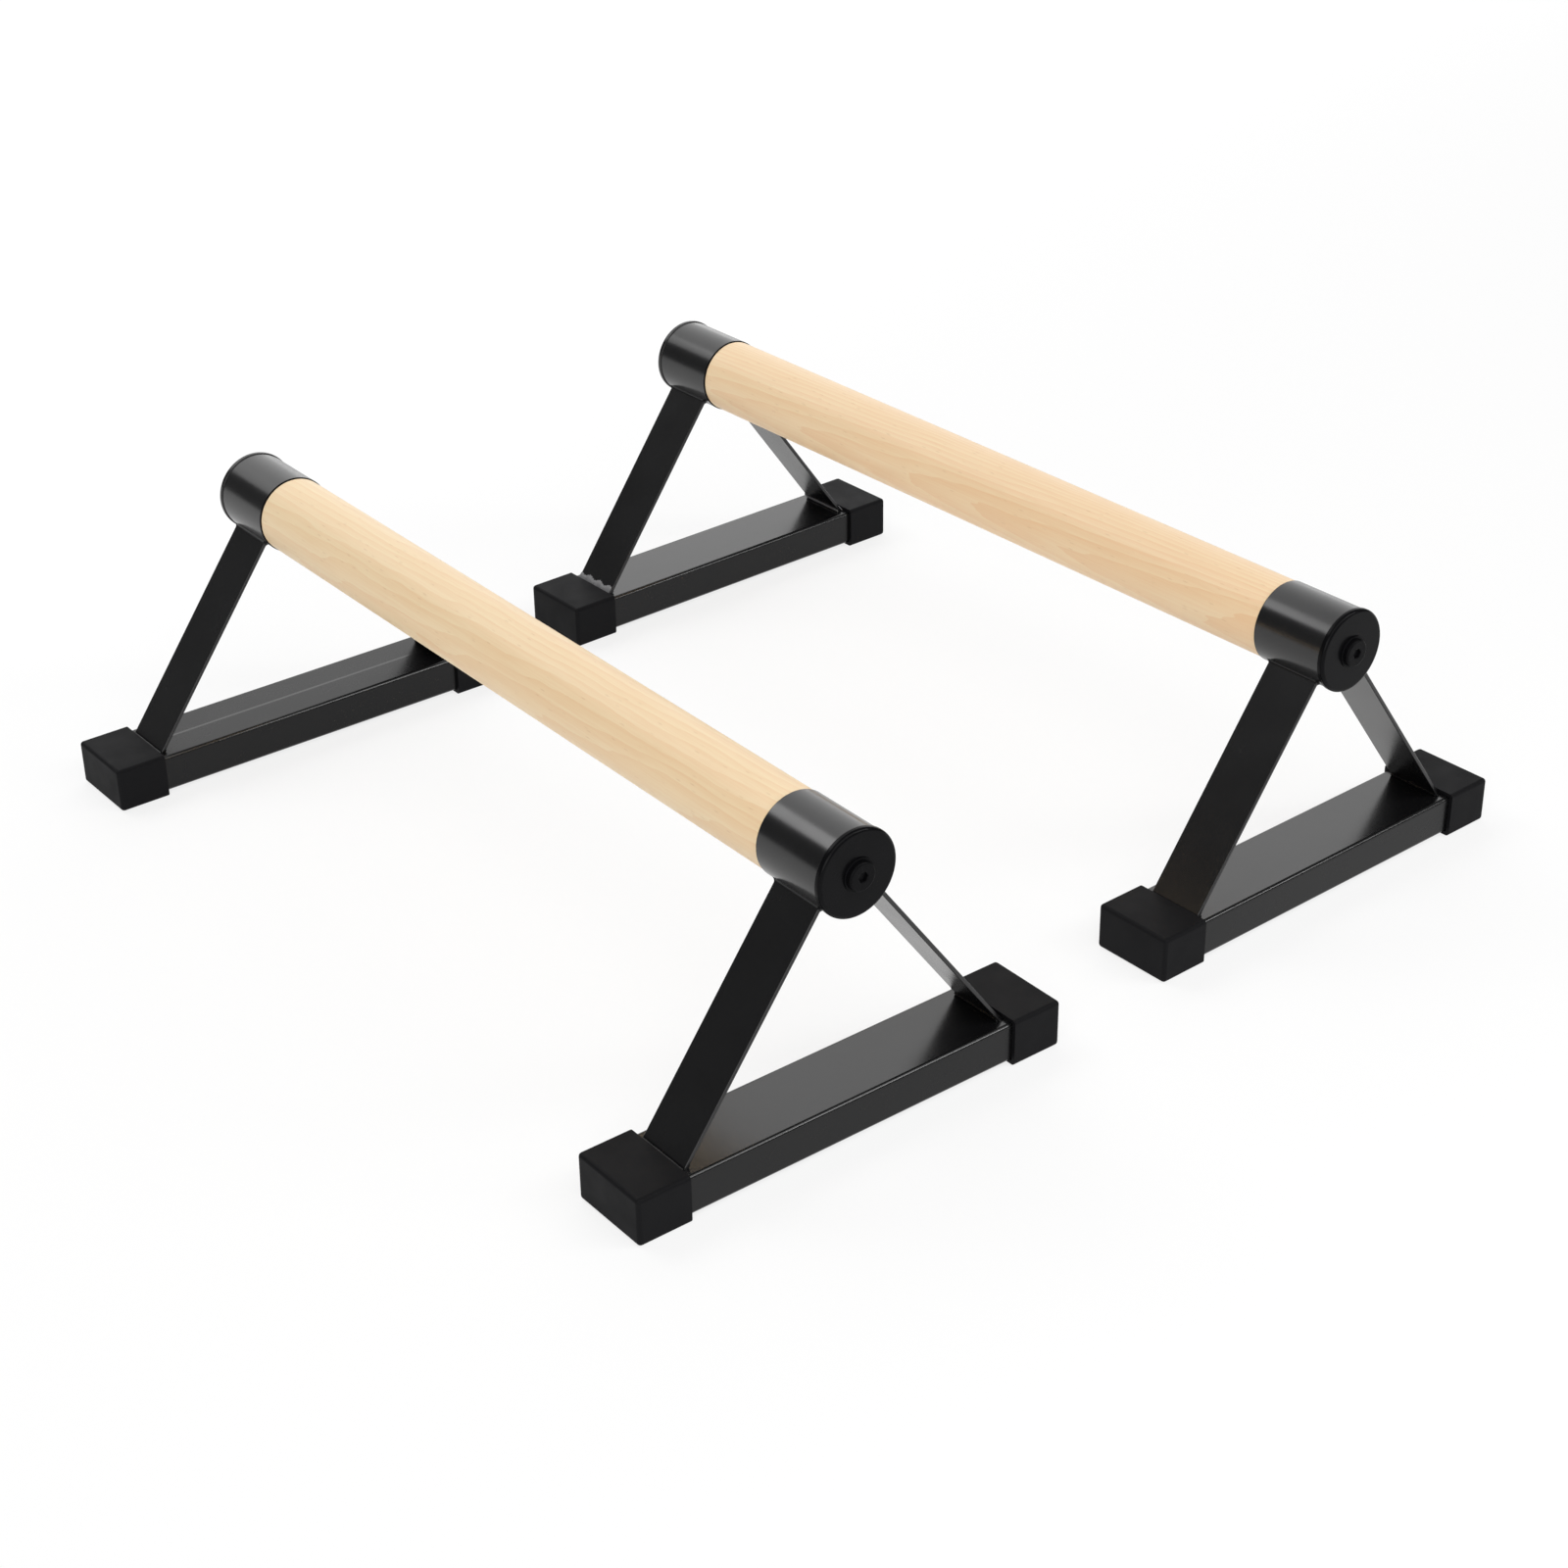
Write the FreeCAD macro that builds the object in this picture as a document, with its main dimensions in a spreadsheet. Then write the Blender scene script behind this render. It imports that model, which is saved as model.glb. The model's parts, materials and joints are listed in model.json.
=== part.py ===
import FreeCAD, Part
import math
import os
import Sketcher

# A pair of free-standing parallette bars: a beech grip bar on two welded steel end frames each.
# +X runs along the bars, +Z is up, and the origin is on the floor, midway between the two bars.
# Lengths are in millimetres and angles in degrees.
SIZES = {
    # the rectangular steel tube that lies across the floor under each end
    "tube_width": 40.0,
    "tube_height": 20.0,
    "tube_wall": 1.5,
    "tube_corner": 2.0,
    "tube_length": 232.0,
    "base_spacing": 466.0,
    # the rubber caps pushed over the ends of the base tube, which stand on the floor
    "cap_wall": 2.0,
    "cap_length": 27.5,
    "cap_clearance": 0.1,
    "cap_corner": 2.0,
    "cap_gap": 0.2,
    # the round steel sleeve that holds the end of the grip bar
    "axis_height": 136.5,
    "sleeve_diameter": 41.0,
    "sleeve_wall": 1.5,
    "sleeve_length": 40.0,
    "sleeve_chamfer": 0.4,
    # the flat steel legs, and the beads that weld them on
    # the aim is how far outside the bar's axis a leg's outer face would pass
    "leg_width": 30.0,
    "leg_thickness": 2.0,
    "leg_aim": 4.8,
    "leg_edge_round": 0.6,
    "weld_gap": 0.2,
    "weld_reach": 0.8,
    # the turned beech bar, whose shouldered tenons fit in the sleeves
    "grip_diameter": 40.0,
    "grip_shoulder_round": 0.7,
    "tenon_clearance": 0.1,
    "tenon_gap": 0.3,
    # the moulded plug that closes the sleeve
    "plug_diameter": 42.0,
    "plug_flange": 3.5,
    "plug_rim_round": 1.8,
    "plug_back_round": 0.6,
    "plug_clearance": 0.1,
    "plug_spigot": 5.0,
    "spigot_chamfer": 0.8,
    # the bolt, its washer and the threaded insert that draw the plug and the bar together
    "bolt_diameter": 8.0,
    "bolt_clearance": 0.25,
    "bolt_tip": 4.6,
    "bolt_tip_chamfer": 0.8,
    "head_diameter": 14.0,
    "head_height": 4.4,
    "head_round": 2.6,
    "socket_width": 5.0,
    "socket_depth": 2.6,
    "washer_diameter": 16.0,
    "washer_thickness": 1.6,
    "insert_diameter": 12.0,
    "insert_length": 20.0,
    "insert_chamfer": 0.8,
    "insert_clearance": 0.05,
    "bore_room": 2.0,
    # how the two bars stand to each other: their distance, their offset and the angle between them
    "pair_spacing": 300.0,
    "pair_stagger": 4.5,
    "pair_toe": 1.8,
}

# Heights and reaches of an end frame, whose own origin is on the floor under its middle, with +X outwards
TUBE_TOP = "(sizes.cap_wall + sizes.tube_height)"
BASE_END = "(sizes.tube_length / 2 + sizes.cap_wall)"
CAP_WIDTH = "(sizes.tube_width + 2 * sizes.cap_clearance + 2 * sizes.cap_wall)"
CAP_HEIGHT = "(sizes.tube_height + sizes.cap_clearance + 2 * sizes.cap_wall)"

# Places along the bar's axis at one end, from the shoulder of the bar out to the head of the bolt
SLEEVE_INNER_END = "(-(sizes.sleeve_length + sizes.plug_flange) / 2)"
SLEEVE_OUTER_END = f"({SLEEVE_INNER_END} + sizes.sleeve_length)"
PLUG_FACE = f"({SLEEVE_OUTER_END} + sizes.plug_flange)"
HEAD_SEAT = f"({PLUG_FACE} + sizes.washer_thickness)"
HEAD_TOP = f"({HEAD_SEAT} + sizes.head_height)"
SPIGOT_END = f"({SLEEVE_OUTER_END} - sizes.plug_spigot)"
TENON_END = f"({SPIGOT_END} - sizes.tenon_gap)"
INSERT_END = f"({TENON_END} - sizes.insert_length)"
BOLT_END = f"({INSERT_END} - sizes.bolt_tip)"
BORE_END = f"({BOLT_END} - sizes.bore_room)"

# Radii about the bar's axis
GRIP_RADIUS = "(sizes.grip_diameter / 2)"
SLEEVE_RADIUS = "(sizes.sleeve_diameter / 2)"
SLEEVE_BORE = f"({SLEEVE_RADIUS} - sizes.sleeve_wall)"
TENON_RADIUS = f"({SLEEVE_BORE} - sizes.tenon_clearance)"
PLUG_RADIUS = "(sizes.plug_diameter / 2)"
SPIGOT_RADIUS = f"({SLEEVE_BORE} - sizes.plug_clearance)"
BOLT_RADIUS = "(sizes.bolt_diameter / 2)"
BOLT_HOLE = f"({BOLT_RADIUS} + sizes.bolt_clearance)"
HEAD_RADIUS = "(sizes.head_diameter / 2)"
WASHER_RADIUS = "(sizes.washer_diameter / 2)"
INSERT_RADIUS = "(sizes.insert_diameter / 2)"
INSERT_BORE = f"({INSERT_RADIUS} + sizes.insert_clearance)"
THREAD_BORE = f"({BOLT_RADIUS} + sizes.insert_clearance)"

# The leg's outer face leaves the tube just inside the cap and passes the bar's axis at the aim's distance
LEG_FOOT = f"({BASE_END} - sizes.cap_length - sizes.cap_gap - sizes.weld_reach)"
LEG_RISE = f"(sizes.axis_height - {TUBE_TOP})"
LEG_SPAN = f"sqrt({LEG_FOOT} ^ 2 + {LEG_RISE} ^ 2)"
LEG_SLOPE = f"(atan({LEG_RISE} / {LEG_FOOT}) + asin(sizes.leg_aim / {LEG_SPAN}))"
LEG_INNER_AIM = "(sizes.leg_aim - sizes.leg_thickness)"
LEG_MIDDLE_AIM = "(sizes.leg_aim - sizes.leg_thickness / 2)"
LEG_FOOT_THICKNESS = f"(sizes.leg_thickness / sin({LEG_SLOPE}))"
WELD_RADIUS = f"({LEG_FOOT_THICKNESS} / 2 + sizes.weld_reach)"
WELD_LENGTH = "(sizes.leg_width - 2 * sizes.leg_edge_round)"

HALF_TURN = 180
SOCKET_SIDES = 6
SOCKET_TURN = 45
SAME_PLACE = 1e-4

# How the sketcher numbers its own axes, whose crossing is the origin, and the points of a line or circle
HORIZONTAL_INDEX = -1
VERTICAL_INDEX = -2
START_INDEX = 1
END_INDEX = 2
CENTRE_INDEX = 3

doc = FreeCAD.newDocument("parallettes")
sheet = doc.addObject("Spreadsheet::Sheet", "sizes")
for row, (name, size) in enumerate(SIZES.items(), start=1):
    sheet.set(f"A{row}", name)
    sheet.set(f"B{row}", str(size))
    sheet.setAlias(f"B{row}", name)
doc.recompute()


def value(expression):
    """The number that an expression of the sheet's sizes comes to."""
    return float(sheet.evalExpression(expression))


def make_body(label):
    """An empty body that carries its node's name."""
    body = doc.addObject("PartDesign::Body", label)
    body.Label = label
    return body


def origin_feature(body, role):
    """One of a body's own planes or axes, by its role."""
    return next(feature for feature in body.Origin.OriginFeatures if feature.Role == role)


def make_sketch(body, plane, offset=None):
    """A sketch on one of a body's planes, moved along the plane's normal by an expression."""
    sketch = body.newObject("Sketcher::SketchObject", f"{body.Name}_sketch")
    sketch.AttachmentSupport = (origin_feature(body, plane), [""])
    sketch.MapMode = "FlatFace"
    if offset:
        sketch.setExpression("AttachmentOffset.Base.z", offset)
    return sketch


def hold(sketch, kind, axis, geometry, point, expression):
    """Holds one coordinate of a sketched point at an expression, or on the axis where that is zero."""
    if expression == "0":
        sketch.addConstraint(Sketcher.Constraint("PointOnObject", geometry, point, axis))
        return
    from_origin = (HORIZONTAL_INDEX, START_INDEX, geometry, point)
    number = sketch.addConstraint(Sketcher.Constraint(kind, *from_origin, value(expression)))
    sketch.setExpression(f"Constraints[{number}]", expression)


def hold_point(sketch, geometry, point, across, up):
    """Holds a sketched point at two expressions."""
    hold(sketch, "DistanceX", VERTICAL_INDEX, geometry, point, across)
    hold(sketch, "DistanceY", HORIZONTAL_INDEX, geometry, point, up)


def draw_outline(sketch, corners):
    """A closed outline of straight lines through corners that are pairs of expressions."""
    places = [FreeCAD.Vector(value(across), value(up), 0) for across, up in corners]
    first = sketch.GeometryCount
    following = places[1:] + places[:1]
    for place, after in zip(places, following):
        sketch.addGeometry(Part.LineSegment(place, after))
    for number, (across, up) in enumerate(corners):
        after = first + (number + 1) % len(corners)
        joined = (first + number, END_INDEX, after, START_INDEX)
        sketch.addConstraint(Sketcher.Constraint("Coincident", *joined))
        hold_point(sketch, first + number, START_INDEX, across, up)


def draw_circle(sketch, radius, across="0", up="0"):
    """A circle about a point, all three given as expressions."""
    centre = FreeCAD.Vector(value(across), value(up), 0)
    circle = sketch.addGeometry(Part.Circle(centre, FreeCAD.Vector(0, 0, 1), value(radius)))
    hold_point(sketch, circle, CENTRE_INDEX, across, up)
    number = sketch.addConstraint(Sketcher.Constraint("Radius", circle, value(radius)))
    sketch.setExpression(f"Constraints[{number}]", radius)


def rectangle(width, bottom, height):
    """The corners of a rectangle that stands at a height, centred sideways."""
    left = f"(-{width} / 2)"
    right = f"({width} / 2)"
    top = f"({bottom} + {height})"
    return [(left, bottom), (right, bottom), (right, top), (left, top)]


def extrude(body, kind, sketch, length, midplane=False, reverse=False):
    """Pads or pockets a sketch by a length, and for a pocket checks that it took material away."""
    before = body.Shape.Volume if kind == "Pocket" else 0
    feature = body.newObject(f"PartDesign::{kind}", f"{body.Name}_{kind.lower()}")
    feature.Profile = sketch
    feature.setExpression("Length", length)
    feature.Midplane = midplane
    feature.Reversed = reverse
    sketch.Visibility = False
    doc.recompute()
    if kind == "Pocket" and not body.Shape.Volume < before:
        raise RuntimeError(f"{body.Label}: the pocket cut nothing")
    return feature


def revolve(body, corners):
    """Turns an outline, drawn as places along the X axis and radii, into a solid about that axis."""
    sketch = make_sketch(body, "XZ_Plane")
    draw_outline(sketch, corners)
    feature = body.newObject("PartDesign::Revolution", f"{body.Name}_revolution")
    feature.Profile = sketch
    feature.ReferenceAxis = (origin_feature(body, "X_Axis"), [""])
    doc.recompute()
    return feature


def ring_edges(place, radius):
    """A test for the round edge about the X axis at a place and radius, both expressions."""
    def is_ring(edge):
        curve = edge.Curve
        if not isinstance(curve, Part.Circle):
            return False
        return math.isclose(curve.Center.x, value(place), abs_tol=SAME_PLACE) and math.isclose(
            curve.Radius, value(radius), abs_tol=SAME_PLACE)
    return is_ring


def long_edges(direction):
    """A test for straight edges along a direction."""
    def is_long(edge):
        if not isinstance(edge.Curve, Part.Line):
            return False
        return edge.Curve.Direction.cross(direction).Length < SAME_PLACE
    return is_long


def blend(body, kind, size_name, size, test):
    """Rounds or chamfers every edge of a body's last feature that passes a test."""
    base = body.Tip
    chosen = [f"Edge{number}" for number, edge in enumerate(base.Shape.Edges, start=1) if test(edge)]
    feature = body.newObject(f"PartDesign::{kind}", f"{body.Name}_{kind.lower()}")
    feature.Base = (base, chosen)
    feature.setExpression(size_name, size)
    doc.recompute()


def round_edges(body, radius, test):
    """Rounds the edges that pass a test."""
    blend(body, "Fillet", "Radius", radius, test)


def chamfer_edges(body, width, test):
    """Chamfers the edges that pass a test."""
    blend(body, "Chamfer", "Size", width, test)


def leg_point(aim, reach):
    """The point of the leg's section at a distance from the bar's axis, a reach down from abreast of it."""
    across = f"({aim} * sin({LEG_SLOPE}) + {reach} * cos({LEG_SLOPE}))"
    up = f"(sizes.axis_height + {aim} * cos({LEG_SLOPE}) - {reach} * sin({LEG_SLOPE}))"
    return across, up


def leg_outline():
    """The strip from the base tube's top to abreast of the bar's axis, before the sleeve is cut from it."""
    return [
        (LEG_FOOT, TUBE_TOP),
        leg_point("sizes.leg_aim", "0"),
        leg_point(LEG_INNER_AIM, "0"),
        (f"({LEG_FOOT} - {LEG_FOOT_THICKNESS})", TUBE_TOP),
    ]


def make_base_tube(label):
    """A rectangular steel tube with rounded corners."""
    body = make_body(label)
    sketch = make_sketch(body, "XZ_Plane")
    draw_outline(sketch, rectangle("sizes.tube_width", "sizes.cap_wall", "sizes.tube_height"))
    extrude(body, "Pad", sketch, "sizes.tube_length", midplane=True)
    round_edges(body, "sizes.tube_corner", long_edges(FreeCAD.Vector(0, 1, 0)))
    bore = make_sketch(body, "XZ_Plane")
    width = "(sizes.tube_width - 2 * sizes.tube_wall)"
    height = "(sizes.tube_height - 2 * sizes.tube_wall)"
    draw_outline(bore, rectangle(width, "(sizes.cap_wall + sizes.tube_wall)", height))
    extrude(body, "Pocket", bore, "sizes.tube_length", midplane=True)
    return body


def make_foot_cap(label):
    """A rubber cap with a closed end, open towards the middle of the tube, which lies on the cap's floor."""
    body = make_body(label)
    block = make_sketch(body, "XZ_Plane", f"(-{BASE_END})")
    draw_outline(block, rectangle(CAP_WIDTH, "0", CAP_HEIGHT))
    extrude(body, "Pad", block, "sizes.cap_length")
    mouth = value(f"{BASE_END} - sizes.cap_length")
    round_edges(body, "sizes.cap_corner", lambda edge: edge.CenterOfMass.y > mouth + SAME_PLACE)
    cavity = make_sketch(body, "XZ_Plane", f"(-{BASE_END} + sizes.cap_wall)")
    width = "(sizes.tube_width + 2 * sizes.cap_clearance)"
    height = "(sizes.tube_height + sizes.cap_clearance)"
    draw_outline(cavity, rectangle(width, "sizes.cap_wall", height))
    extrude(body, "Pocket", cavity, "sizes.cap_length", reverse=True)
    return body


def make_leg(label):
    """A flat strip that stands on the base tube, with its head coped to the round sleeve."""
    body = make_body(label)
    strip = make_sketch(body, "YZ_Plane")
    draw_outline(strip, leg_outline())
    extrude(body, "Pad", strip, "sizes.leg_width", midplane=True)
    slope = value(LEG_SLOPE) * math.pi / HALF_TURN
    along_leg = FreeCAD.Vector(0, -math.cos(slope), math.sin(slope))
    round_edges(body, "sizes.leg_edge_round", long_edges(along_leg))
    cope = make_sketch(body, "YZ_Plane")
    draw_circle(cope, f"({SLEEVE_RADIUS} + sizes.weld_gap)", up="sizes.axis_height")
    extrude(body, "Pocket", cope, "(2 * sizes.leg_width)", midplane=True)
    return body


def make_welds(label):
    """The beads along the head and the foot of both legs, on either face of each."""
    body = make_body(label)
    body.AllowCompound = True
    middle_reach = f"sqrt({SLEEVE_RADIUS} ^ 2 - {LEG_MIDDLE_AIM} ^ 2)"
    head = leg_point(LEG_MIDDLE_AIM, middle_reach)
    foot = (f"({LEG_FOOT} - {LEG_FOOT_THICKNESS} / 2)", TUBE_TOP)
    sides = ("", "-")
    beads = make_sketch(body, "YZ_Plane")
    for side in sides:
        for across, up in (head, foot):
            draw_circle(beads, WELD_RADIUS, f"({side}{across})", up)
    extrude(body, "Pad", beads, WELD_LENGTH, midplane=True)
    strips = make_sketch(body, "YZ_Plane")
    for side in sides:
        draw_outline(strips, [(f"({side}{across})", up) for across, up in leg_outline()])
    sleeve = make_sketch(body, "YZ_Plane")
    draw_circle(sleeve, SLEEVE_RADIUS, up="sizes.axis_height")
    tube = make_sketch(body, "YZ_Plane")
    draw_outline(tube, rectangle("sizes.tube_length", "sizes.cap_wall", "sizes.tube_height"))
    for sketch in (strips, sleeve, tube):
        extrude(body, "Pocket", sketch, "sizes.leg_width", midplane=True)
    return body


def make_sleeve(label):
    """A short round tube that lies across the heads of the legs."""
    body = make_body(label)
    revolve(body, [
        (SLEEVE_INNER_END, SLEEVE_BORE),
        (SLEEVE_OUTER_END, SLEEVE_BORE),
        (SLEEVE_OUTER_END, SLEEVE_RADIUS),
        (SLEEVE_INNER_END, SLEEVE_RADIUS),
    ])
    chamfer_edges(body, "sizes.sleeve_chamfer", ring_edges(SLEEVE_INNER_END, SLEEVE_RADIUS))
    return body


def make_end_plug(label):
    """A moulded plug: a flange with a rounded rim, and a spigot in the sleeve, bored for the bolt."""
    body = make_body(label)
    revolve(body, [
        (PLUG_FACE, BOLT_HOLE),
        (PLUG_FACE, PLUG_RADIUS),
        (SLEEVE_OUTER_END, PLUG_RADIUS),
        (SLEEVE_OUTER_END, SPIGOT_RADIUS),
        (SPIGOT_END, SPIGOT_RADIUS),
        (SPIGOT_END, BOLT_HOLE),
    ])
    round_edges(body, "sizes.plug_rim_round", ring_edges(PLUG_FACE, PLUG_RADIUS))
    round_edges(body, "sizes.plug_back_round", ring_edges(SLEEVE_OUTER_END, PLUG_RADIUS))
    chamfer_edges(body, "sizes.spigot_chamfer", ring_edges(SPIGOT_END, SPIGOT_RADIUS))
    return body


def make_bolt(label):
    """A button-head bolt with a six-sided socket."""
    body = make_body(label)
    revolve(body, [
        (BOLT_END, "0"),
        (BOLT_END, BOLT_RADIUS),
        (HEAD_SEAT, BOLT_RADIUS),
        (HEAD_SEAT, HEAD_RADIUS),
        (HEAD_TOP, HEAD_RADIUS),
        (HEAD_TOP, "0"),
    ])
    round_edges(body, "sizes.head_round", ring_edges(HEAD_TOP, HEAD_RADIUS))
    chamfer_edges(body, "sizes.bolt_tip_chamfer", ring_edges(BOLT_END, BOLT_RADIUS))
    socket = make_sketch(body, "YZ_Plane", HEAD_TOP)
    corner_reach = f"(sizes.socket_width / 2 / cos({HALF_TURN} / {SOCKET_SIDES}))"
    corners = []
    for number in range(SOCKET_SIDES):
        turn = f"({SOCKET_TURN} + 2 * {HALF_TURN} * {number} / {SOCKET_SIDES})"
        corners.append((f"({corner_reach} * cos({turn}))", f"({corner_reach} * sin({turn}))"))
    draw_outline(socket, corners)
    extrude(body, "Pocket", socket, "sizes.socket_depth")
    return body


def make_washer(label):
    """A flat washer on the face of the plug."""
    body = make_body(label)
    revolve(body, [
        (PLUG_FACE, BOLT_HOLE),
        (HEAD_SEAT, BOLT_HOLE),
        (HEAD_SEAT, WASHER_RADIUS),
        (PLUG_FACE, WASHER_RADIUS),
    ])
    return body


def make_insert(label):
    """A threaded insert, flush with the end grain of the tenon."""
    body = make_body(label)
    revolve(body, [
        (INSERT_END, THREAD_BORE),
        (TENON_END, THREAD_BORE),
        (TENON_END, INSERT_RADIUS),
        (INSERT_END, INSERT_RADIUS),
    ])
    chamfer_edges(body, "sizes.insert_chamfer", ring_edges(INSERT_END, INSERT_RADIUS))
    return body


def make_grip_bar(label):
    """The turned bar, whose own origin is at its middle: a tenon and a stepped bore at both ends."""
    body = make_body(label)
    half_span = "sizes.base_spacing / 2"
    end_steps = [
        (BORE_END, "0"),
        (BORE_END, BOLT_HOLE),
        (INSERT_END, BOLT_HOLE),
        (INSERT_END, INSERT_BORE),
        (TENON_END, INSERT_BORE),
        (TENON_END, TENON_RADIUS),
        (SLEEVE_INNER_END, TENON_RADIUS),
        (SLEEVE_INNER_END, GRIP_RADIUS),
    ]
    front = [(f"({half_span} + {place})", radius) for place, radius in end_steps]
    rear = [(f"(-({half_span} + {place}))", radius) for place, radius in reversed(end_steps)]
    revolve(body, front + rear)
    for sign in ("", "-"):
        shoulder = f"({sign}({half_span} + {SLEEVE_INNER_END}))"
        round_edges(body, "sizes.grip_shoulder_round", ring_edges(shoulder, GRIP_RADIUS))
    return body


def place_piece(body, side, end, turned, height="0"):
    """Stands a piece in its bar, by the bar's side, the end of it and whether the piece is turned about."""
    yaw = f"({side} * sizes.pair_toe / 2)"
    reach = f"({end} * sizes.base_spacing / 2)"
    about_vertical = FreeCAD.Rotation(FreeCAD.Vector(0, 0, 1), HALF_TURN)
    body.Placement = FreeCAD.Placement(FreeCAD.Vector(0, 0, 0), about_vertical)
    body.setExpression("Placement.Base.x", f"-{side} * sizes.pair_stagger / 2 + {reach} * cos({yaw})")
    body.setExpression("Placement.Base.y", f"{side} * sizes.pair_spacing / 2 + {reach} * sin({yaw})")
    body.setExpression("Placement.Base.z", height)
    body.setExpression("Placement.Rotation.Angle", f"{yaw} + {HALF_TURN if turned else 0}")


def make_end_frame(bar, side, end_name, end):
    """One end of a bar: base tube, legs, sleeve, welds, caps, plug and fastening."""
    name = f"{bar}_{end_name}"
    pieces = []
    for kind, maker, height in (
        ("base_tube", make_base_tube, "0"),
        ("welds", make_welds, "0"),
        ("sleeve", make_sleeve, "sizes.axis_height"),
        ("end_plug", make_end_plug, "sizes.axis_height"),
        ("bolt", make_bolt, "sizes.axis_height"),
        ("washer", make_washer, "sizes.axis_height"),
        ("thread_insert", make_insert, "sizes.axis_height"),
    ):
        body = maker(f"{name}_{kind}")
        place_piece(body, side, end, end < 0, height)
        pieces.append(body)
    for flank, turned in (("outer", side < 0), ("inner", side > 0)):
        for kind, maker in (("leg", make_leg), ("foot_cap", make_foot_cap)):
            body = maker(f"{name}_{flank}_{kind}")
            place_piece(body, side, end, turned)
            pieces.append(body)
    return pieces


subparts = []
for bar, side in (("left", -1), ("right", 1)):
    grip = make_grip_bar(f"{bar}_grip_bar")
    place_piece(grip, side, 0, False, "sizes.axis_height")
    subparts.append(grip)
    for end_name, end in (("front", 1), ("rear", -1)):
        subparts += make_end_frame(bar, side, end_name, end)
doc.recompute()

failed = [item.Label for item in doc.Objects if {"Invalid", "Error"} & set(item.State)]
failed += [body.Label for body in subparts if body.Shape.isNull() or not body.Shape.isValid()]
if failed:
    raise RuntimeError(f"not built: {', '.join(failed)}")

os.makedirs("parts", exist_ok=True)
for body in subparts:
    body.Shape.exportStep(f"parts/{body.Label}.step")
    print(f"{body.Label}: {len(body.Shape.Solids)} solids, {body.Shape.Volume:.1f} mm3")
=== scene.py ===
"""Dresses a pair of parallette bars: lacquered beech grips in black powder-coated steel end frames.

Lengths are in metres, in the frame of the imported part: +X runs along the bars towards their front ends, +Y
from the left bar to the right bar, +Z is up, and the origin is on the floor. An end frame is modelled about
its own origin, on the floor under its middle, with +X outwards, and then put in its place.
"""

import json
import logging
import math
from dataclasses import dataclass
from enum import Enum
from typing import Any, Sequence

import bmesh
import bpy
from bmesh.types import BMEdge, BMesh, BMFace, BMVert
from bpy.types import Material, Node, NodeSocket, NodeTree
from mathutils import Matrix, Vector

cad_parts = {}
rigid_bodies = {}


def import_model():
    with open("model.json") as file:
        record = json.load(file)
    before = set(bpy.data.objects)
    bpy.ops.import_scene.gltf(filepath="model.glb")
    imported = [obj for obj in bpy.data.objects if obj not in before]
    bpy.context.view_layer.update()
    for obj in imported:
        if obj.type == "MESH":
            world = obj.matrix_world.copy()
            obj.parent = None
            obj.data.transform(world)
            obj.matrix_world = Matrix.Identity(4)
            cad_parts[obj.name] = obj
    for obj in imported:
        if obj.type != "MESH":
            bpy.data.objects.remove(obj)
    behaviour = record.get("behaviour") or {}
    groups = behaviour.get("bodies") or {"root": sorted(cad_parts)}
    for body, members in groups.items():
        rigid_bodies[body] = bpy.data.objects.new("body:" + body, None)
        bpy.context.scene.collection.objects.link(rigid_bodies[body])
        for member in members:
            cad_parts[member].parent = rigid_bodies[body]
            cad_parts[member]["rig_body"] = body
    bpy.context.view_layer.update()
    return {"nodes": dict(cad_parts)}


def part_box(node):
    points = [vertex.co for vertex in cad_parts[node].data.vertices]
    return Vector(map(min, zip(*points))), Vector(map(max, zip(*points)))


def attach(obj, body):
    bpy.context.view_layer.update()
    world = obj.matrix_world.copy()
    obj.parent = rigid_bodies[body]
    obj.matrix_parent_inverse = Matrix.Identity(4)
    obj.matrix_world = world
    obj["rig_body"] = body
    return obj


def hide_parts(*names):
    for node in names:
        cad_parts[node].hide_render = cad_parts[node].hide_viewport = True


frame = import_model()

MM = 0.001
FULL_TURN = 2 * math.pi
X_AXIS = Vector((1, 0, 0))
Y_AXIS = Vector((0, 1, 0))
# Faces that meet at a larger angle than this look sharp.
SHARP_EDGE = math.radians(32)
# Points closer than this are one point.
SAME_POINT = 1e-4 * MM
# Steps of a full turn: for a grip bar, for a sleeve or plug, and for a bolt or washer.
BAR_STEPS, TUBE_STEPS, BOLT_STEPS = 192, 160, 96
# Steps of the curved side of a weld's section.
WELD_STEPS = 6

Span = tuple[float, float]
UNIT: Span = (0.0, 1.0)
log = logging.getLogger("parallettes")


class Side(Enum):
    """Which of the two bars, with the sign of its place along Y."""

    LEFT = -1
    RIGHT = 1


class End(Enum):
    """Which end of a bar, with the sign of its place along X."""

    FRONT = 1
    REAR = -1


class Flank(Enum):
    """Which leg and foot of an end frame: away from the other bar, or towards it."""

    OUTER = 1
    INNER = -1


class SeamFace(Enum):
    """Which face of a base tube its lengthwise weld seam is on, with the sign of that face along Z."""

    TOP = 1
    BOTTOM = -1


# Node helpers


def linear(colour: str) -> tuple[float, float, float, float]:
    """Turns an sRGB hex colour into linear values.

    Args:
        colour: the colour as #RRGGBB.

    Returns:
        Red, green, blue and an alpha of one.
    """
    channels = (int(colour[start:start + 2], 16) / 255 for start in (1, 3, 5))
    red, green, blue = (c / 12.92 if c <= 0.04045 else ((c + 0.055) / 1.055) ** 2.4 for c in channels)
    return red, green, blue, 1.0


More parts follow.
